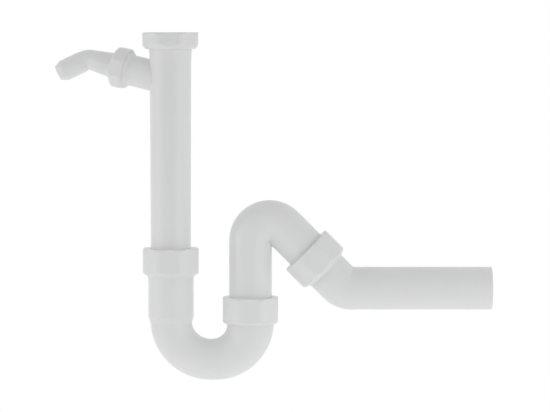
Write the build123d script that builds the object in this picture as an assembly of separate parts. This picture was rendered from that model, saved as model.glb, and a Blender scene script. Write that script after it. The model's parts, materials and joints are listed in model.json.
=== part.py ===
from build123d import *
import math
import os

# Tubular sink trap with an appliance-hose branch. Millimetres, +Z up.
# The origin is the centre of the inlet gasket's top face, where the sink waste seats.
# +X runs from the inlet pipe to the outlet spigot.

# Pipes
PIPE_OD = 40.0
PIPE_WALL = 2.0
BEND_RADIUS = 17.9
INLET_DRAFT = 2.2
INLET_DROP = 194.9
NECK_LENGTH = 12.0
NECK_FLARE = 0.5
LEAD_IN = 3.0
LEAD_IN_STEP = 1.2
SPIGOT_EDGE = 0.8

# Slip joints: a spigot held in a socket by a wedge seal and a nut
SLIP_CLEARANCE = 0.4
SLIP_TRAVEL = 20.0
SOCKET_WALL = 1.9
HEAD_WALL = 3.3
THREAD_INSET = 1.5
SOCKET_DEPTH = 16.0
SHOULDER_LENGTH = 4.0
SEAL_CLEARANCE = 0.2
SEAL_BAND = 2.2
SEAL_WEDGE = 5.5
SEAL_THICKNESS = 2.2
END_GAP = 0.5

# Union nuts, one size on every pipe joint
NUT_SIDES = 8
NUT_LENGTH = 24.8
NUT_LIP = 3.0
NUT_WALL = 1.9
NUT_CORNER = 1.5
NUT_CHAMFER = 2.8
NUT_EDGE = 1.8
THREAD_CLEARANCE = 0.4
LIP_CLEARANCE = 0.3
SEAT_GAP = 0.2

# Inlet connection to the sink waste
COLLAR_THICKNESS = 3.0
COLLAR_STEP = 2.2
GASKET_THICKNESS = 2.5
INLET_NUT_LIP = 2.2
INLET_NUT_CHAMFER = 4.4
FREE_THREAD = 7.7
MOUTH_CHAMFER = 0.6
COLLAR_RELIEF = 0.3

# Trap bend
ARM_SPACING = 75.0
LEFT_ARM = 67.6
TAPER_SETBACK = 3.0
TAPER_LENGTH = 9.0
BEND_WALL = 2.0
BEND_R_LEFT = 19.2
BEND_R_RIGHT = 21.9
RISING_BEND = 34.7

# Swan neck and outlet
RISER_LENGTH = 74.2
CROWN_ANGLE = 135.0
LEG_FREE = 30.5
OUTLET_NECK = 22.0
OUTLET_SPIGOT = 131.5
OUTLET_SWELL = 0.2
SWELL_LENGTH = 8.0

# Appliance branch
BRANCH_DROP = 37.2
BRANCH_YAW = 19.0
BRANCH_RISE = 13.3
BRANCH_REACH = 49.0
STUB_OD = 29.0
STUB_WALL = 2.2
STUB_THREAD_STEP = 1.6
BRANCH_NUT_LENGTH = 12.9
BRANCH_NUT_CHAMFER = 2.8
BRANCH_LIP = 2.5
BRANCH_GASKET = 2.0
NOZZLE_FLANGE = 2.5
NOZZLE_ROOT_R = 12.2
NOZZLE_NECK_R = 9.5
NOZZLE_TAIL_R = 10.0
NOZZLE_TIP_R = 7.2
NOZZLE_WALL = 2.0
NOZZLE_CONE = 25.6
NOZZLE_BEND = 41.5
NOZZLE_TURN = 22.0
NOZZLE_BEND_RADIUS = 10.0
NOZZLE_SWELL = 4.0
NOZZLE_TAIL = 27.6
NOZZLE_TIP = 6.0

# Sizes that follow from those above
PIPE_R = PIPE_OD / 2
PIPE_BORE_R = PIPE_R - PIPE_WALL
INLET_R = PIPE_R - INLET_DRAFT / 2
THREAD_R = PIPE_R + SLIP_CLEARANCE + HEAD_WALL
NUT_BORE_R = THREAD_R + THREAD_CLEARANCE
NUT_APOTHEM = NUT_BORE_R + NUT_WALL
NUT_R = NUT_APOTHEM + NUT_CORNER
SEAL_TOP = NUT_LIP + SEAT_GAP
MOUTH = SEAL_TOP + SEAL_BAND + SEAT_GAP
SOCKET_STOP = MOUTH + SOCKET_DEPTH
SPIGOT_END = SOCKET_STOP - END_GAP
COLLAR_TOP = -GASKET_THICKNESS
COLLAR_BOTTOM = COLLAR_TOP - COLLAR_THICKNESS
COLLAR_R = PIPE_R + COLLAR_STEP
LONG_SOCKET = LEFT_ARM - TAPER_SETBACK
INLET_END = LONG_SOCKET - SLIP_TRAVEL - END_GAP
STUB_R = STUB_OD / 2
STUB_THREAD_R = STUB_R + STUB_THREAD_STEP
BRANCH_BORE_R = STUB_THREAD_R + THREAD_CLEARANCE
FLANGE_R = STUB_THREAD_R - THREAD_CLEARANCE
BRANCH_NUT_R = BRANCH_BORE_R + NUT_WALL + NUT_CORNER

# Frames of the joints: each starts at its nut's closed end and points into its socket
BEND_Z = -(INLET_DROP + LEFT_ARM)
LEG_DIRECTION = (math.sin(math.radians(CROWN_ANGLE)), 0, math.cos(math.radians(CROWN_ANGLE)))
LEG_NORMAL = (-LEG_DIRECTION[2], 0, LEG_DIRECTION[0])
CROWN_X = ARM_SPACING + BEND_RADIUS
CROWN_Z = BEND_Z + END_GAP + RISER_LENGTH
OUTLET_X = CROWN_X + BEND_RADIUS * LEG_NORMAL[0] + LEG_FREE * LEG_DIRECTION[0]
OUTLET_Z = CROWN_Z + BEND_RADIUS * LEG_NORMAL[2] + LEG_FREE * LEG_DIRECTION[2]
INLET_JOINT = Plane((0, 0, -INLET_DROP), x_dir=(1, 0, 0), z_dir=(0, 0, -1))
RISER_JOINT = Plane((ARM_SPACING, 0, BEND_Z + SOCKET_STOP), x_dir=(1, 0, 0), z_dir=(0, 0, -1))
OUTLET_JOINT = Plane((OUTLET_X, 0, OUTLET_Z), x_dir=LEG_NORMAL, z_dir=LEG_DIRECTION)
RISER_FOOT = Plane((ARM_SPACING, 0, BEND_Z + END_GAP), x_dir=(1, 0, 0), z_dir=(0, 0, 1))

# The branch frame starts on the inlet axis, points outwards and has its x axis downwards
RISE = math.radians(BRANCH_RISE)
YAW = math.radians(BRANCH_YAW)
BRANCH_DIRECTION = (-math.cos(RISE) * math.cos(YAW), math.cos(RISE) * math.sin(YAW), math.sin(RISE))
BRANCH_DOWN = (-math.sin(RISE) * math.cos(YAW), math.sin(RISE) * math.sin(YAW), -math.cos(RISE))
BRANCH = Plane((0, 0, -BRANCH_DROP), x_dir=BRANCH_DOWN, z_dir=BRANCH_DIRECTION)
BRANCH_NUT_FACE = BRANCH_REACH + BRANCH_GASKET + NOZZLE_FLANGE + SEAT_GAP + BRANCH_LIP


def turned(*points):
    """A solid of revolution about Z from a closed outline of (radius, height) points."""
    outline = Polyline(*[(r, 0, z) for r, z in points], close=True)
    return revolve(make_face(outline), Axis.Z, 360)


def rod(radius, start, end):
    """A round bar on the Z axis."""
    return Pos(0, 0, start) * Cylinder(radius, end - start, align=(Align.CENTER, Align.CENTER, Align.MIN))


def after_bend(height, bend_radius, angle):
    """The place and heading behind a bend towards +X that starts at the height."""
    turn = math.radians(angle)
    x = bend_radius * (1 - math.cos(turn))
    z = height + bend_radius * math.sin(turn)
    return Pos(x, 0, z) * Rot(0, angle, 0)


def elbow(radius, height, bend_radius, angle):
    """A round bar bent towards +X. Where it is wider than the bend it ends at the bend's own axis."""
    reach = 2 * (radius + bend_radius)
    section = Circle(radius) & Pos(bend_radius - reach / 2, 0) * Rectangle(reach, reach)
    pivot = Axis((bend_radius, 0, height), (0, 1, 0))
    return revolve(Pos(0, 0, height) * section, pivot, angle)


def bent_rod(radius, start, height, bend_radius, angle, length):
    """A straight bar, a bend towards +X at the height, and a straight bar behind it."""
    tail = after_bend(height, bend_radius, angle) * rod(radius, 0, length)
    return rod(radius, start, height) + elbow(radius, height, bend_radius, angle) + tail


def nut_blank(length, apothem, corner_r, closed_chamfer, open_chamfer):
    """An eight-sided bar with both ends turned to a chamfer."""
    octagon = RegularPolygon(apothem, NUT_SIDES, major_radius=False, rotation=180 / NUT_SIDES)
    turning = turned(
        (0, 0),
        (corner_r - closed_chamfer, 0),
        (corner_r, closed_chamfer),
        (corner_r, length - open_chamfer),
        (corner_r - open_chamfer, length),
        (0, length),
    )
    return extrude(octagon, length) & turning


def slip_nut(pipe_r):
    """A union nut: its lip closes on the pipe and its bore runs over a socket's thread."""
    blank = nut_blank(NUT_LENGTH, NUT_APOTHEM, NUT_R, NUT_EDGE, NUT_CHAMFER)
    hole = rod(pipe_r + LIP_CLEARANCE, 0, NUT_LIP)
    bore = rod(NUT_BORE_R, NUT_LIP, NUT_LENGTH)
    return blank - hole - bore


def wedge_seal(pipe_r):
    """A wedge ring between the nut's lip and the cone in the socket's mouth."""
    inner = pipe_r + SEAL_CLEARANCE
    band_end = SEAL_TOP + SEAL_BAND
    return turned(
        (inner, SEAL_TOP),
        (inner + SEAL_THICKNESS, SEAL_TOP),
        (inner + SEAL_THICKNESS, band_end),
        (pipe_r + SLIP_CLEARANCE, band_end + SEAL_WEDGE),
        (inner, band_end + SEAL_WEDGE),
    )


def socket_void(pipe_r, depth):
    """The hollow of a socket: the seal's cone at the mouth and the bore for the pipe."""
    bore_r = pipe_r + SLIP_CLEARANCE
    cone_r = pipe_r + SEAL_CLEARANCE + SEAL_THICKNESS + SEAT_GAP
    return turned(
        (0, MOUTH),
        (cone_r, MOUTH),
        (bore_r, MOUTH + SEAL_WEDGE + SEAT_GAP),
        (bore_r, depth),
        (0, depth),
    )


def socket_head(thread_end, below_r):
    """The outside of a socket's threaded head, with a conical shoulder below the nut."""
    return turned(
        (0, MOUTH),
        (THREAD_R, MOUTH),
        (THREAD_R, thread_end),
        (below_r, thread_end + SHOULDER_LENGTH),
        (0, thread_end + SHOULDER_LENGTH),
    )


def lead_in(radius, end):
    """The ring that is cut from a spigot's end to leave a tapered lead-in."""
    return turned(
        (radius, end - LEAD_IN),
        (radius + LEAD_IN_STEP, end - LEAD_IN),
        (radius + LEAD_IN_STEP, end),
        (radius - LEAD_IN_STEP, end),
    )


def trap_tube(inset):
    """The half-circle tube of the trap: an even falling quarter and a rising quarter that widens."""
    falling_bend = ARM_SPACING / 2
    even = falling_bend - RISING_BEND
    lowest = BEND_Z - falling_bend
    narrow = BEND_R_LEFT - inset
    wide = BEND_R_RIGHT - inset
    start = (ARM_SPACING - RISING_BEND, 0, lowest)
    end = (ARM_SPACING, 0, lowest + RISING_BEND)
    falling = elbow(narrow, LEFT_ARM, falling_bend, 90)
    bottom = after_bend(LEFT_ARM, falling_bend, 90) * rod(narrow, 0, even)
    sections = [
        Plane(start, x_dir=(0, 1, 0), z_dir=(1, 0, 0)) * Circle(narrow),
        Plane(end, x_dir=(0, 1, 0), z_dir=(0, 0, 1)) * Circle(wide),
    ]
    rising = sweep(sections, path=TangentArc(start, end, tangent=(1, 0, 0)), multisection=True)
    top = RISER_JOINT * rod(wide, SOCKET_STOP, SOCKET_STOP + even)
    return INLET_JOINT * (falling + bottom) + rising + top


# Inlet pipe: collar, flared neck, drafted tube and the moulded branch
inlet_end_z = -INLET_DROP - INLET_END
neck_top_z = COLLAR_BOTTOM - INLET_NUT_LIP - SEAT_GAP
slip_top_z = -INLET_DROP + SLIP_TRAVEL
upper_r = PIPE_R - NECK_FLARE
inlet_outside = turned(
    (0, COLLAR_TOP),
    (COLLAR_R, COLLAR_TOP),
    (COLLAR_R, COLLAR_BOTTOM),
    (PIPE_R, COLLAR_BOTTOM),
    (PIPE_R, neck_top_z),
    (upper_r, neck_top_z - NECK_LENGTH),
    (INLET_R, slip_top_z),
    (INLET_R, inlet_end_z),
    (0, inlet_end_z),
)
inlet_void = turned(
    (0, COLLAR_TOP),
    (upper_r - PIPE_WALL, COLLAR_TOP),
    (INLET_R - PIPE_WALL, slip_top_z),
    (INLET_R - PIPE_WALL, inlet_end_z),
    (0, inlet_end_z),
)
shoulder_r = BRANCH_NUT_R - BRANCH_NUT_CHAMFER
thread_root = BRANCH_NUT_FACE - BRANCH_NUT_LENGTH - SEAT_GAP
stub_outside = BRANCH * turned(
    (0, 0),
    (STUB_R, 0),
    (STUB_R, thread_root - (shoulder_r - STUB_R)),
    (shoulder_r, thread_root),
    (STUB_THREAD_R, thread_root),
    (STUB_THREAD_R, BRANCH_REACH),
    (0, BRANCH_REACH),
)
stub_void = BRANCH * rod(STUB_R - STUB_WALL, 0, BRANCH_REACH)
inlet_taper = Pos(0, 0, inlet_end_z) * Rot(180, 0, 0) * lead_in(INLET_R, 0)
inlet_pipe = inlet_outside.cut(inlet_taper) + stub_outside - inlet_void - stub_void

# Inlet nut and gasket
inlet_nut_length = FREE_THREAD - COLLAR_BOTTOM + SEAT_GAP + INLET_NUT_LIP
inlet_nut_foot = Plane((0, 0, FREE_THREAD - inlet_nut_length), x_dir=(1, 0, 0), z_dir=(0, 0, 1))
inlet_nut_blank = nut_blank(inlet_nut_length, NUT_APOTHEM, NUT_R, INLET_NUT_CHAMFER, NUT_EDGE)
inlet_nut_void = turned(
    (0, FREE_THREAD - inlet_nut_length),
    (PIPE_R + LIP_CLEARANCE, FREE_THREAD - inlet_nut_length),
    (PIPE_R + LIP_CLEARANCE, COLLAR_BOTTOM - SEAT_GAP),
    (NUT_BORE_R + COLLAR_RELIEF, COLLAR_BOTTOM - SEAT_GAP),
    (NUT_BORE_R + COLLAR_RELIEF, 0),
    (NUT_BORE_R, 0),
    (NUT_BORE_R, FREE_THREAD - MOUTH_CHAMFER),
    (NUT_BORE_R + MOUTH_CHAMFER, FREE_THREAD),
    (0, FREE_THREAD),
)
inlet_nut = inlet_nut_foot * inlet_nut_blank - inlet_nut_void
inlet_gasket = rod(COLLAR_R, COLLAR_TOP, 0) - rod(upper_r - PIPE_WALL, COLLAR_TOP, 0)

# Appliance branch: nut, gasket and bent hose nozzle
branch_blank = nut_blank(
    BRANCH_NUT_LENGTH,
    BRANCH_BORE_R + NUT_WALL,
    BRANCH_NUT_R,
    BRANCH_NUT_CHAMFER,
    NUT_EDGE,
)
branch_nut_local = Pos(0, 0, BRANCH_NUT_FACE - BRANCH_NUT_LENGTH) * branch_blank
branch_nut_local -= rod(NOZZLE_ROOT_R + LIP_CLEARANCE, BRANCH_NUT_FACE - BRANCH_LIP, BRANCH_NUT_FACE)
branch_nut_local -= rod(BRANCH_BORE_R, BRANCH_NUT_FACE - BRANCH_NUT_LENGTH, BRANCH_NUT_FACE - BRANCH_LIP)
branch_nut = BRANCH * branch_nut_local
nozzle_root_bore_r = NOZZLE_ROOT_R - NOZZLE_WALL
branch_gasket_end = BRANCH_REACH + BRANCH_GASKET
branch_gasket = BRANCH * (
    rod(FLANGE_R, BRANCH_REACH, branch_gasket_end) - rod(nozzle_root_bore_r, BRANCH_REACH, branch_gasket_end)
)
flange_end = branch_gasket_end + NOZZLE_FLANGE
cone_end = BRANCH_NUT_FACE + NOZZLE_CONE
nozzle_root = turned(
    (0, branch_gasket_end),
    (FLANGE_R, branch_gasket_end),
    (FLANGE_R, flange_end),
    (NOZZLE_ROOT_R, flange_end),
    (NOZZLE_ROOT_R, BRANCH_NUT_FACE),
    (NOZZLE_NECK_R, cone_end),
    (0, cone_end),
)
nozzle_root_void = turned(
    (0, branch_gasket_end),
    (nozzle_root_bore_r, branch_gasket_end),
    (nozzle_root_bore_r, BRANCH_NUT_FACE),
    (NOZZLE_NECK_R - NOZZLE_WALL, cone_end),
    (0, cone_end),
)
nozzle_tail = turned(
    (0, 0),
    (NOZZLE_NECK_R, 0),
    (NOZZLE_TAIL_R, NOZZLE_SWELL),
    (NOZZLE_TAIL_R, NOZZLE_TAIL - NOZZLE_TIP),
    (NOZZLE_TIP_R, NOZZLE_TAIL),
    (0, NOZZLE_TAIL),
)
nozzle_tail_void = turned(
    (0, 0),
    (NOZZLE_NECK_R - NOZZLE_WALL, 0),
    (NOZZLE_NECK_R - NOZZLE_WALL, NOZZLE_TAIL - NOZZLE_TIP),
    (NOZZLE_TIP_R - NOZZLE_WALL, NOZZLE_TAIL),
    (0, NOZZLE_TAIL),
)
nozzle_end = after_bend(cone_end, NOZZLE_BEND_RADIUS, NOZZLE_BEND)
nozzle_bend = elbow(NOZZLE_NECK_R, cone_end, NOZZLE_BEND_RADIUS, NOZZLE_BEND)
nozzle_outside = nozzle_root + nozzle_bend + nozzle_end * nozzle_tail
nozzle_bend_void = elbow(NOZZLE_NECK_R - NOZZLE_WALL, cone_end, NOZZLE_BEND_RADIUS, NOZZLE_BEND)
nozzle = nozzle_outside - nozzle_root_void - nozzle_bend_void - nozzle_end * nozzle_tail_void
hose_nozzle = BRANCH * Rot(0, 0, NOZZLE_TURN) * nozzle

# Trap bend: long inlet socket, growing half-circle tube, short outlet socket
long_socket_r = INLET_R + SLIP_CLEARANCE + SOCKET_WALL
left_arm = socket_head(NUT_LENGTH - THREAD_INSET, long_socket_r) + turned(
    (0, NUT_LENGTH),
    (long_socket_r, NUT_LENGTH),
    (long_socket_r, LONG_SOCKET),
    (BEND_R_LEFT - BEND_WALL / 2, LONG_SOCKET + TAPER_LENGTH),
    (0, LONG_SOCKET + TAPER_LENGTH),
)
left_arm_void = socket_void(INLET_R, LONG_SOCKET) + turned(
    (0, LONG_SOCKET),
    (INLET_R + SLIP_CLEARANCE, LONG_SOCKET),
    (BEND_R_LEFT - BEND_WALL, LEFT_ARM),
    (0, LEFT_ARM),
)
right_head = socket_head(NUT_LENGTH - THREAD_INSET, BEND_R_RIGHT - BEND_WALL / 2)
trap_outside = INLET_JOINT * left_arm + trap_tube(0) + RISER_JOINT * right_head
right_void = socket_void(PIPE_R, SOCKET_STOP)
trap_void = INLET_JOINT * left_arm_void + trap_tube(BEND_WALL) + RISER_JOINT * right_void
trap_bend = trap_outside - trap_void

# Swan neck: riser, tight crown and the leg that enters the outlet socket
leg_length = LEG_FREE + SPIGOT_END
swan_outside = bent_rod(PIPE_R, 0, RISER_LENGTH, BEND_RADIUS, CROWN_ANGLE, leg_length)
swan_void = bent_rod(PIPE_BORE_R, 0, RISER_LENGTH, BEND_RADIUS, CROWN_ANGLE, leg_length)
leg_start = after_bend(RISER_LENGTH, BEND_RADIUS, CROWN_ANGLE)
leg_taper = leg_start * lead_in(PIPE_R, leg_length)
riser_taper = Rot(180, 0, 0) * lead_in(PIPE_R, 0)
swan_neck = RISER_FOOT * (swan_outside - swan_void - leg_taper - riser_taper)

# Outlet pipe: threaded socket, elbow and plain spigot
outlet_turn = 180 - CROWN_ANGLE
outlet_bend = SOCKET_STOP + OUTLET_NECK
outlet_r = PIPE_R + OUTLET_SWELL
outlet_head = socket_head(NUT_LENGTH - THREAD_INSET, outlet_r)
outlet_neck = rod(outlet_r, SOCKET_STOP, outlet_bend) + elbow(outlet_r, outlet_bend, BEND_RADIUS, outlet_turn)
spigot = turned(
    (0, 0),
    (outlet_r, 0),
    (PIPE_R, SWELL_LENGTH),
    (PIPE_R, OUTLET_SPIGOT - SPIGOT_EDGE),
    (PIPE_R - SPIGOT_EDGE, OUTLET_SPIGOT),
    (0, OUTLET_SPIGOT),
)
outlet_outside = outlet_head + outlet_neck + after_bend(outlet_bend, BEND_RADIUS, outlet_turn) * spigot
outlet_bore = bent_rod(PIPE_BORE_R, SOCKET_STOP, outlet_bend, BEND_RADIUS, outlet_turn, OUTLET_SPIGOT)
outlet_pipe = OUTLET_JOINT * (outlet_outside - outlet_bore - socket_void(PIPE_R, SOCKET_STOP))

nodes = {
    "inlet_pipe": inlet_pipe,
    "inlet_nut": inlet_nut,
    "inlet_gasket": inlet_gasket,
    "branch_nut": branch_nut,
    "branch_gasket": branch_gasket,
    "hose_nozzle": hose_nozzle,
    "trap_inlet_nut": INLET_JOINT * slip_nut(INLET_R),
    "trap_inlet_seal": INLET_JOINT * wedge_seal(INLET_R),
    "trap_bend": trap_bend,
    "trap_outlet_nut": RISER_JOINT * slip_nut(PIPE_R),
    "trap_outlet_seal": RISER_JOINT * wedge_seal(PIPE_R),
    "swan_neck": swan_neck,
    "outlet_nut": OUTLET_JOINT * slip_nut(PIPE_R),
    "outlet_seal": OUTLET_JOINT * wedge_seal(PIPE_R),
    "outlet_pipe": outlet_pipe,
}

os.makedirs("parts", exist_ok=True)
for name, shape in nodes.items():
    export_step(shape, f"parts/{name}.step")
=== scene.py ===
import json
import math

import bpy
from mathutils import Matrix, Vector


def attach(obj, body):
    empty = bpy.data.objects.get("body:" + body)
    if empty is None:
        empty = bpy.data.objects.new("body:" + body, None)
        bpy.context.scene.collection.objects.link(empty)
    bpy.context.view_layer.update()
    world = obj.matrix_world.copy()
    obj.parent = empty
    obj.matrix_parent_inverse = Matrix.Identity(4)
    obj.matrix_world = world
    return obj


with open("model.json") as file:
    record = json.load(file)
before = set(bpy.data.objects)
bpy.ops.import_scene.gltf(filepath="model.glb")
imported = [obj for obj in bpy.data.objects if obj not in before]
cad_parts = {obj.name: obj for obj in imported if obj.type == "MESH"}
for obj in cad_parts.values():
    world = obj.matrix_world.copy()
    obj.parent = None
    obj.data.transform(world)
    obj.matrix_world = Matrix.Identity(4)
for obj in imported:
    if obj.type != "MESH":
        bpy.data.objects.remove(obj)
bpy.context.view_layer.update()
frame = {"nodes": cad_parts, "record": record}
MM = 0.001

# Photograph: 550 by 412 pixels, nearly square on to the trap, 0.94 mm of object to a pixel.
# The distance is in metres and the rise above level in degrees.
IMAGE_WIDTH = 550
PIXEL = 0.94 * MM
SENSOR = 36.0
VIEW_CENTRE = Vector((98.0, 0.0, -155.3)) * MM
VIEW_DISTANCE = 2.8
VIEW_RISE = 3.3


def linear(code):
    """An sRGB hex colour as linear red, green, blue and alpha."""
    parts = [int(code[i:i + 2], 16) / 255 for i in (1, 3, 5)]
    return [c / 12.92 if c <= 0.04045 else ((c + 0.055) / 1.055) ** 2.4 for c in parts] + [1.0]


def add(tree, kind, inputs=None, **settings):
    """Adds one node, with its settings and its inputs: plain values, or the sockets they are linked from."""
    made = tree.nodes.new(kind)
    for key, value in settings.items():
        setattr(made, key, value)
    for key, value in (inputs or {}).items():
        if isinstance(value, bpy.types.NodeSocket):
            tree.links.new(value, made.inputs[key])
        else:
            made.inputs[key].default_value = value
    return made


def new_material(name):
    """An empty node material with its output."""
    material = bpy.data.materials.new(name)
    material.use_nodes = True
    material.node_tree.nodes.clear()
    return material, material.node_tree, material.node_tree.nodes.new("ShaderNodeOutputMaterial")


def moulded_polypropylene(name, edge_mm, milkiness):
    """White polypropylene, injection moulded against a lightly eroded steel tool."""
    # It looks milky rather than painted: light enters a little, corners stay soft, and the
    # satin skin has a very fine grain with slow, faint flow waves from the filling of the mould.
    material, tree, out = new_material(name)
    place = add(tree, "ShaderNodeTexCoord").outputs["Object"]
    flow = add(
        tree, "ShaderNodeTexNoise",
        {"Vector": place, "Scale": 1 / (45 * MM), "Detail": 2.0, "Roughness": 0.4},
    )
    # The real grain is nearer 0.1 mm, and is drawn coarser so that it shows
    grain = add(tree, "ShaderNodeTexNoise", {"Vector": place, "Scale": 1 / (0.7 * MM), "Detail": 2.0})
    tint = add(
        tree, "ShaderNodeMix",
        {"Factor": flow.outputs["Fac"], "A": linear("#EDEEEF"), "B": linear("#F2F2F1")},
        data_type="RGBA",
    )
    sheen = add(
        tree, "ShaderNodeMapRange",
        {"Value": flow.outputs["Fac"], "From Min": 0.3, "From Max": 0.7, "To Min": 0.36, "To Max": 0.46},
    )
    soft_edge = add(tree, "ShaderNodeBevel", {"Radius": edge_mm * MM}, samples=8)
    waves = add(
        tree, "ShaderNodeBump",
        {
            "Height": flow.outputs["Fac"], "Normal": soft_edge.outputs["Normal"],
            "Strength": 0.25, "Distance": 0.5 * MM,
        },
    )
    skin = add(
        tree, "ShaderNodeBump",
        {
            "Height": grain.outputs["Fac"], "Normal": waves.outputs["Normal"],
            "Strength": 0.10, "Distance": 0.05 * MM,
        },
    )
    shader = add(
        tree, "ShaderNodeBsdfPrincipled",
        {
            "Base Color": tint.outputs["Result"],
            "Roughness": sheen.outputs["Result"],
            "Normal": skin.outputs["Normal"],
            "IOR": 1.49,
            "Subsurface Weight": milkiness,
            "Subsurface Radius": (2.6, 2.5, 2.4),
            "Subsurface Scale": 1.0 * MM,
        },
    )
    tree.links.new(shader.outputs["BSDF"], out.inputs["Surface"])
    return material


def rubber(name, dark, light, grain_mm, roughness):
    """Pressed rubber: matt, with a fine even grain and a bloom that varies slowly."""
    material, tree, out = new_material(name)
    place = add(tree, "ShaderNodeTexCoord").outputs["Object"]
    bloom = add(tree, "ShaderNodeTexNoise", {"Vector": place, "Scale": 1 / (9 * MM), "Detail": 3.0})
    grain = add(tree, "ShaderNodeTexNoise", {"Vector": place, "Scale": 1 / (grain_mm * MM), "Detail": 2.0})
    tint = add(
        tree, "ShaderNodeMix",
        {"Factor": bloom.outputs["Fac"], "A": linear(dark), "B": linear(light)},
        data_type="RGBA",
    )
    skin = add(
        tree, "ShaderNodeBump", {"Height": grain.outputs["Fac"], "Strength": 0.3, "Distance": 0.08 * MM},
    )
    shader = add(
        tree, "ShaderNodeBsdfPrincipled",
        {
            "Base Color": tint.outputs["Result"],
            "Roughness": roughness,
            "Normal": skin.outputs["Normal"],
            "IOR": 1.52,
        },
    )
    tree.links.new(shader.outputs["BSDF"], out.inputs["Surface"])
    return material


# Pipes and nuts: a milky, satin white with softly rounded corners
PLASTIC = moulded_polypropylene("moulded_polypropylene", edge_mm=0.5, milkiness=0.15)
# The same plastic on ridges too thin to glow or to have rounded corners: crisp threads, faint seams
FINE_PLASTIC = moulded_polypropylene("moulded_polypropylene_ridge", edge_mm=0.05, milkiness=0.0)
# Flat gaskets: dull black, against which the white nut stands out
GASKET = rubber("pressed_epdm", "#1D1D1E", "#2B2B2C", 0.5, 0.62)
# Seals: a duller white than the plastic, almost lost beside it
SEAL = rubber("moulded_white_rubber", "#DADCDC", "#E4E5E5", 0.5, 0.55)
FINISH = {"polypropylene": PLASTIC, "gasket_rubber": GASKET, "seal_rubber": SEAL}

for part in frame["record"]["subparts"]:
    shell = frame["nodes"][part["node"]]
    shell.data.materials.clear()
    shell.data.materials.append(FINISH[part["material_slot"]])


# Small forms that the solids leave out, in millimetres
PITCH = 2.309
THREAD_TURNS = 2.5
THREAD_DEPTH = 1.1
THREAD_MARGIN = 0.4
NUT_ROOT_R = 24.1
THREAD_TOP = 7.1
INLET_R = 18.9
INLET_NUT_Z = -194.9
PIPE_R = 20.0
LIP_GAP = 0.3
LIP_CREST = 0.15
LIP_BEVEL = 0.09
SEAL_DEPTH = 3.5
BRANCH_DROP = 37.2
BRANCH_YAW = math.radians(19)
BRANCH_RISE = math.radians(13.3)
THREAD_ROOT = 43.1
SHOULDER_R = 17.1
NUT_STOP = 0.15
STOP_DEPTH = 1.2
STOP_EDGE = 0.1
SEAM_HALF_WIDTH = 0.35
SEAM_HEIGHT = 0.12
TOP_NUT_FOOT_Z, BRANCH_FOOT_Z, SLIP_TOP_Z = -9, -54, -174
ARM_TOP_Z, RISER_FOOT_Z = -221, -238
BEND_X, BEND_Z = 37.5, -262.5
CROWN_X, CROWN_Z, BEND_RADIUS = 92.9, -187.8, 17.9
RISER_X, RISER_NUT_Z = 75.0, -240.9
OUTLET_X, OUTLET_Z = 127.12, -196.71
ELBOW_X, ELBOW_Z, SPIGOT_END = 170.61, -214.88, 302.1
SLANT = math.sqrt(0.5)


def new_tree(name, sockets):
    """A geometry node tree with named inputs and one geometry output."""
    tree = bpy.data.node_groups.new(name, "GeometryNodeTree")
    for label, kind in sockets:
        tree.interface.new_socket(label, in_out="INPUT", socket_type=kind)
    tree.interface.new_socket("Geometry", in_out="OUTPUT", socket_type="NodeSocketGeometry")
    return tree, tree.nodes.new("NodeGroupInput").outputs


def close_tree(tree, geometry, material, smooth):
    """Ends a tree: smooth or flat faces, plain mesh, one material."""
    faces = add(tree, "GeometryNodeSetShadeSmooth", {"Geometry": geometry, "Shade Smooth": smooth})
    real = add(tree, "GeometryNodeRealizeInstances", {"Geometry": faces.outputs["Geometry"]})
    painted = add(
        tree, "GeometryNodeSetMaterial", {"Geometry": real.outputs["Geometry"], "Material": material},
    )
    out = tree.nodes.new("NodeGroupOutput")
    tree.links.new(painted.outputs["Geometry"], out.inputs["Geometry"])


def keep(name, source, tree, values, body):
    """Runs a tree on a source object and keeps the mesh as a piece that moves with a body."""
    bpy.context.scene.collection.objects.link(source)
    modifier = source.modifiers.new(tree.name, "NODES")
    modifier.node_group = tree
    for socket in tree.interface.items_tree:
        if socket.in_out == "INPUT" and socket.name in values:
            modifier[socket.identifier] = values[socket.name]
    graph = bpy.context.evaluated_depsgraph_get()
    mesh = bpy.data.meshes.new_from_object(source.evaluated_get(graph), depsgraph=graph)
    bpy.data.objects.remove(source)
    place_piece(name, mesh, body)


def place_piece(name, mesh, body):
    """Adds a finished mesh to the scene, on its body, with the material the mesh already carries."""
    piece = bpy.data.objects.new(name, mesh)
    bpy.context.scene.collection.objects.link(piece)
    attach(piece, body)


def faded(tree, curve, share):
    """A curve whose section shrinks to almost nothing over a share of its length at each end."""
    along = add(tree, "GeometryNodeSplineParameter")
    back = add(tree, "ShaderNodeMath", {0: 1.0, 1: along.outputs["Factor"]}, operation="SUBTRACT")
    nearest = add(
        tree, "ShaderNodeMath", {0: along.outputs["Factor"], 1: back.outputs["Value"]}, operation="MINIMUM",
    )
    fade = add(
        tree, "ShaderNodeMapRange", {"Value": nearest.outputs["Value"], "From Max": share, "To Min": 0.02},
    )
    sized = add(tree, "GeometryNodeSetCurveRadius", {"Curve": curve, "Radius": fade.outputs["Result"]})
    return sized.outputs["Curve"]


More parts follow.
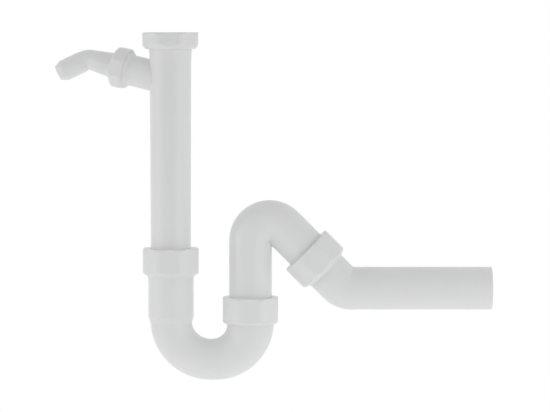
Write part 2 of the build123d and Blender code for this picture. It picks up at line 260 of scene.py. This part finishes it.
def thread_tree(material):
    """A screw ridge that stands inwards from a nut's wall and fades out at both ends."""
    tree, given = new_tree("nut_thread", [
        ("Root Radius", "NodeSocketFloat"), ("Pitch", "NodeSocketFloat"), ("Turns", "NodeSocketFloat"),
        ("Depth", "NodeSocketFloat"), ("Start", "NodeSocketFloat"),
    ])
    rise = add(tree, "ShaderNodeMath", {0: given["Pitch"], 1: given["Turns"]}, operation="MULTIPLY")
    helix = add(tree, "GeometryNodeCurveSpiral", {
        "Resolution": 120, "Rotations": given["Turns"], "Start Radius": given["Root Radius"],
        "End Radius": given["Root Radius"], "Height": rise.outputs["Value"],
    })
    upright = add(tree, "GeometryNodeSetCurveNormal", {"Curve": helix.outputs["Curve"]}, mode="Z_UP")
    sized = faded(tree, upright.outputs["Curve"], 0.06)
    width = add(tree, "ShaderNodeMath", {0: given["Depth"], 1: 2.0}, operation="MULTIPLY")
    half = add(tree, "ShaderNodeMath", {0: given["Pitch"], 1: 0.4}, operation="MULTIPLY").outputs["Value"]
    section = add(
        tree, "GeometryNodeCurvePrimitiveQuadrilateral",
        {"Width": width.outputs["Value"], "Bottom Height": half, "Top Height": half}, mode="KITE",
    )
    rounded = add(
        tree, "GeometryNodeFilletCurve",
        {"Curve": section.outputs["Curve"], "Radius": 0.25 * MM, "Count": 2}, mode="POLY",
    )
    ridge = add(
        tree, "GeometryNodeCurveToMesh",
        {"Curve": sized, "Profile Curve": rounded.outputs["Curve"], "Fill Caps": True},
    )
    lift = add(tree, "ShaderNodeCombineXYZ", {"Z": given["Start"]})
    raised = add(
        tree, "GeometryNodeTransform",
        {"Geometry": ridge.outputs["Mesh"], "Translation": lift.outputs["Vector"]},
    )
    close_tree(tree, raised.outputs["Geometry"], material, smooth=True)
    return tree


def seam_tree(material):
    """A fine moulding seam: a path drawn onto the nearest wall of a piece and raised a little from it."""
    tree, given = new_tree("moulding_seam", [
        ("Path", "NodeSocketGeometry"), ("Wall", "NodeSocketObject"),
        ("Half Width", "NodeSocketFloat"), ("Height", "NodeSocketFloat"),
    ])
    wall = add(tree, "GeometryNodeObjectInfo", {"Object": given["Wall"]}, transform_space="RELATIVE")
    fine = add(tree, "GeometryNodeResampleCurve", {"Curve": given["Path"], "Length": 1.2 * MM}, mode="LENGTH")
    near = add(
        tree, "GeometryNodeProximity", {0: wall.outputs["Geometry"]}, target_element="FACES",
    )
    outwards = add(
        tree, "ShaderNodeVectorMath",
        {0: add(tree, "GeometryNodeInputPosition").outputs["Position"], 1: near.outputs["Position"]},
        operation="SUBTRACT",
    )
    faced = add(
        tree, "GeometryNodeSetCurveNormal",
        {"Curve": fine.outputs["Curve"], "Normal": outwards.outputs["Vector"]}, mode="FREE",
    )
    laid = add(
        tree, "GeometryNodeSetPosition",
        {"Geometry": faced.outputs["Curve"], "Position": near.outputs["Position"]},
    )
    width = add(tree, "ShaderNodeMath", {0: given["Height"], 1: 2.0}, operation="MULTIPLY")
    section = add(
        tree, "GeometryNodeCurvePrimitiveQuadrilateral",
        {
            "Width": width.outputs["Value"],
            "Bottom Height": given["Half Width"],
            "Top Height": given["Half Width"],
        },
        mode="KITE",
    )
    line = faded(tree, laid.outputs["Geometry"], 0.1)
    ridge = add(
        tree, "GeometryNodeCurveToMesh",
        {"Curve": line, "Profile Curve": section.outputs["Curve"], "Fill Caps": True},
    )
    close_tree(tree, ridge.outputs["Mesh"], material, smooth=False)
    return tree


def path_object(name, points):
    """An open path through points in millimetres."""
    curve = bpy.data.curves.new(name, "CURVE")
    curve.dimensions = "3D"
    spline = curve.splines.new("POLY")
    spline.points.add(len(points) - 1)
    for knot, point in zip(spline.points, points):
        knot.co = [c * MM for c in point] + [1.0]
    return bpy.data.objects.new(name, curve)


def arc(x, z, radius, start, end):
    """Points of an arc in the plane of the trap, angles in degrees from +X towards +Z."""
    steps = 24
    turns = [math.radians(start + (end - start) * i / steps) for i in range(steps + 1)]
    return [(x + radius * math.cos(a), 0, z + radius * math.sin(a)) for a in turns]


def turned_ring(name, profile, start, axis, material, body):
    """A closed ring from an outline of (radius, depth) points, with the depth measured along the axis."""
    turn = Vector((0, 0, 1)).rotation_difference(Vector(axis))
    steps = 160
    points = []
    for i in range(steps):
        a = math.tau * i / steps
        for radius, depth in profile:
            rim = Vector((radius * math.cos(a), radius * math.sin(a), depth))
            points.append((Vector(start) + turn @ rim) * MM)
    count = len(profile)
    faces = []
    for i in range(steps):
        here, there = i * count, (i + 1) % steps * count
        for j in range(count):
            k = (j + 1) % count
            faces.append((here + j, there + j, there + k, here + k))
    mesh = bpy.data.meshes.new(name)
    mesh.from_pydata(points, [], faces)
    mesh.materials.append(material)
    place_piece(name, mesh, body)


def seal_lip(name, start, axis, pipe_r, body):
    """The seal's thin wiping lip, which closes the gap between a nut's mouth and the pipe in it."""
    inner = pipe_r + 0.2 * LIP_GAP
    outer = pipe_r + 0.8 * LIP_GAP
    profile = [(inner, SEAL_DEPTH), (inner, LIP_CREST), (outer, LIP_CREST + LIP_BEVEL), (outer, SEAL_DEPTH)]
    turned_ring(name, profile, start, axis, SEAL, body)


# Screw ridge for the sink waste, inside the top nut
keep(
    "inlet_nut_thread", bpy.data.objects.new("thread_source", bpy.data.meshes.new("thread_source")),
    thread_tree(FINE_PLASTIC),
    {
        "Root Radius": NUT_ROOT_R * MM, "Pitch": PITCH * MM,
        "Turns": THREAD_TURNS, "Depth": THREAD_DEPTH * MM,
        "Start": (THREAD_TOP - THREAD_TURNS * PITCH - THREAD_MARGIN) * MM,
    },
    "inlet_nut",
)

# Wiping lips at the mouths of the three slip joints
seal_lip("trap_inlet_lip", (0, 0, INLET_NUT_Z), (0, 0, -1), INLET_R, "trap_inlet_seal")
seal_lip("trap_outlet_lip", (RISER_X, 0, RISER_NUT_Z), (0, 0, -1), PIPE_R, "trap_outlet_seal")
seal_lip("outlet_lip", (OUTLET_X, 0, OUTLET_Z), (SLANT, 0, -SLANT), PIPE_R, "outlet_seal")

# Stop at the root of the branch's thread, where the branch nut's rim comes to rest
turned_ring(
    "branch_thread_stop",
    [
        (SHOULDER_R - STOP_DEPTH, THREAD_ROOT - STOP_EDGE),
        (SHOULDER_R - STOP_EDGE, THREAD_ROOT - STOP_EDGE),
        (SHOULDER_R - STOP_EDGE / 2, THREAD_ROOT + NUT_STOP / 2),
        (SHOULDER_R - STOP_EDGE, THREAD_ROOT + NUT_STOP),
        (SHOULDER_R - STOP_DEPTH, THREAD_ROOT + NUT_STOP),
    ],
    (0, 0, -BRANCH_DROP),
    (
        -math.cos(BRANCH_RISE) * math.cos(BRANCH_YAW),
        math.cos(BRANCH_RISE) * math.sin(BRANCH_YAW),
        math.sin(BRANCH_RISE),
    ),
    FINE_PLASTIC, "inlet",
)

# Seams where the halves of each mould meet: paths drawn this far from the axis, outside the wall
AWAY = 22.0
seam_x, seam_y = AWAY * math.cos(BRANCH_YAW), AWAY * math.sin(BRANCH_YAW)
neck = AWAY * SLANT
SEAMS = {
    "inlet_pipe_seam": (
        "inlet_pipe", "inlet",
        [(seam_x, -seam_y, TOP_NUT_FOOT_Z), (seam_x, -seam_y, SLIP_TOP_Z)],
    ),
    "inlet_pipe_back_seam": (
        "inlet_pipe", "inlet",
        [(-seam_x, seam_y, BRANCH_FOOT_Z), (-seam_x, seam_y, SLIP_TOP_Z)],
    ),
    "trap_bend_outer_seam": (
        "trap_bend", "trap_bend",
        [(-25, 0, ARM_TOP_Z)] + arc(BEND_X, BEND_Z, BEND_X + AWAY, 180, 356),
    ),
    "trap_bend_inner_seam": (
        "trap_bend", "trap_bend",
        [(25, 0, ARM_TOP_Z)] + arc(BEND_X, BEND_Z, 14, 180, 340),
    ),
    "swan_neck_seam": (
        "swan_neck", "swan_neck",
        [(RISER_X - AWAY, 0, RISER_FOOT_Z)] + arc(CROWN_X, CROWN_Z, BEND_RADIUS + AWAY, 180, 45)
        + [(OUTLET_X + neck - 2, 0, OUTLET_Z + neck + 2)],
    ),
    "outlet_pipe_seam": (
        "outlet_pipe", "outlet_pipe",
        [(OUTLET_X + 26 * SLANT - neck, 0, OUTLET_Z - 26 * SLANT - neck)]
        + arc(ELBOW_X, ELBOW_Z, BEND_RADIUS + AWAY, 225, 270)
        + [(SPIGOT_END - 2, 0, ELBOW_Z - BEND_RADIUS - AWAY)],
    ),
    "outlet_pipe_top_seam": (
        "outlet_pipe", "outlet_pipe",
        [(ELBOW_X + 12, 0, ELBOW_Z - BEND_RADIUS + AWAY), (SPIGOT_END - 2, 0, ELBOW_Z - BEND_RADIUS + AWAY)],
    ),
}
seams = seam_tree(FINE_PLASTIC)
for name, (node, body, points) in SEAMS.items():
    keep(
        name, path_object(name + "_path", points), seams,
        {"Wall": frame["nodes"][node], "Half Width": SEAM_HALF_WIDTH * MM, "Height": SEAM_HEIGHT * MM},
        body,
    )


# Stage: white surroundings, a pale floor far below the hanging trap, broad soft lamps
def white_world(level, above, behind, flanks):
    """Surroundings that the eye sees as white: an even light, and more from above, behind and both flanks."""
    world = bpy.data.worlds.new("studio")
    bpy.context.scene.world = world
    world.use_nodes = True
    tree = world.node_tree
    tree.nodes.clear()
    out = tree.nodes.new("ShaderNodeOutputWorld")
    sky = add(tree, "ShaderNodeTexCoord").outputs["Generated"]
    heading = add(tree, "ShaderNodeSeparateXYZ", {"Vector": sky})
    high = add(tree, "ShaderNodeMath", {0: heading.outputs["Z"], 1: 0.0}, operation="MAXIMUM")
    rear = add(tree, "ShaderNodeMath", {0: heading.outputs["Y"], 1: 0.0}, operation="MAXIMUM")
    side = add(tree, "ShaderNodeMath", {0: heading.outputs["X"]}, operation="ABSOLUTE")
    total = level
    for share, amount in ((high, above), (rear, behind), (side, flanks)):
        total = add(
            tree, "ShaderNodeMath", {0: share.outputs["Value"], 1: amount, 2: total},
            operation="MULTIPLY_ADD",
        ).outputs["Value"]
    light = add(tree, "ShaderNodeBackground", {"Color": (1, 1, 1, 1), "Strength": total})
    seen = add(tree, "ShaderNodeBackground", {"Color": (1, 1, 1, 1), "Strength": 1.0})
    path = add(tree, "ShaderNodeLightPath")
    straight = add(
        tree, "ShaderNodeMath", {0: path.outputs["Is Camera Ray"], 1: path.outputs["Is Transmission Ray"]},
        operation="MAXIMUM",
    )
    shown = add(
        tree, "ShaderNodeMath", {0: straight.outputs["Value"], 1: path.outputs["Is Glossy Ray"]},
        operation="MAXIMUM",
    )
    mixed = add(
        tree, "ShaderNodeMixShader",
        {"Fac": shown.outputs["Value"], 1: light.outputs["Background"], 2: seen.outputs["Background"]},
    )
    tree.links.new(mixed.outputs["Shader"], out.inputs["Surface"])


def softbox(name, place, aim, size, power):
    """A broad square lamp that points at its aim."""
    lamp = bpy.data.lights.new(name, "AREA")
    lamp.shape = "SQUARE"
    lamp.size = size
    lamp.energy = power
    stand = bpy.data.objects.new(name, lamp)
    stand.visible_camera = False
    stand.location = place
    stand.rotation_euler = (Vector(aim) - Vector(place)).to_track_quat("-Z", "Y").to_euler()
    bpy.context.scene.collection.objects.link(stand)


def pale_floor(height, half):
    """A plain pale floor."""
    mesh = bpy.data.meshes.new("floor")
    corners = [(-half, -half, height), (half, -half, height), (half, half, height), (-half, half, height)]
    mesh.from_pydata(corners, [], [(0, 1, 2, 3)])
    floor = bpy.data.objects.new("floor", mesh)
    bpy.context.scene.collection.objects.link(floor)
    material, tree, out = new_material("pale_floor")
    shader = add(tree, "ShaderNodeBsdfPrincipled", {"Base Color": linear("#F4F4F4"), "Roughness": 0.9})
    tree.links.new(shader.outputs["BSDF"], out.inputs["Surface"])
    mesh.materials.append(material)


white_world(level=0.24, above=0.35, behind=0.30, flanks=0.175)
pale_floor(height=-0.55, half=1.3)
softbox("underlight", place=(0.1, 0.0, -0.54), aim=(0.1, 0.0, 0.0), size=1.6, power=1.8)
softbox("key", place=(1.5, -1.5, 0.0), aim=(0.1, 0.0, -0.2), size=0.8, power=6.1)
softbox("left_fill", place=(-1.7, -0.5, 0.0), aim=(0.1, 0.0, -0.2), size=1.0, power=5.9)
softbox("right_fill", place=(1.9, -0.3, 0.0), aim=(0.1, 0.0, -0.2), size=1.0, power=1.6)

camera = bpy.data.cameras.new("photograph")
camera.sensor_width = SENSOR
camera.lens = SENSOR * VIEW_DISTANCE / (IMAGE_WIDTH * PIXEL)
view = bpy.data.objects.new("photograph", camera)
rise = math.radians(VIEW_RISE)
view.location = VIEW_CENTRE + VIEW_DISTANCE * Vector((0, -math.cos(rise), math.sin(rise)))
view.rotation_euler = (VIEW_CENTRE - view.location).to_track_quat("-Z", "Y").to_euler()
bpy.context.scene.collection.objects.link(view)
bpy.context.scene.camera = view
bpy.context.scene.view_settings.view_transform = "Standard"
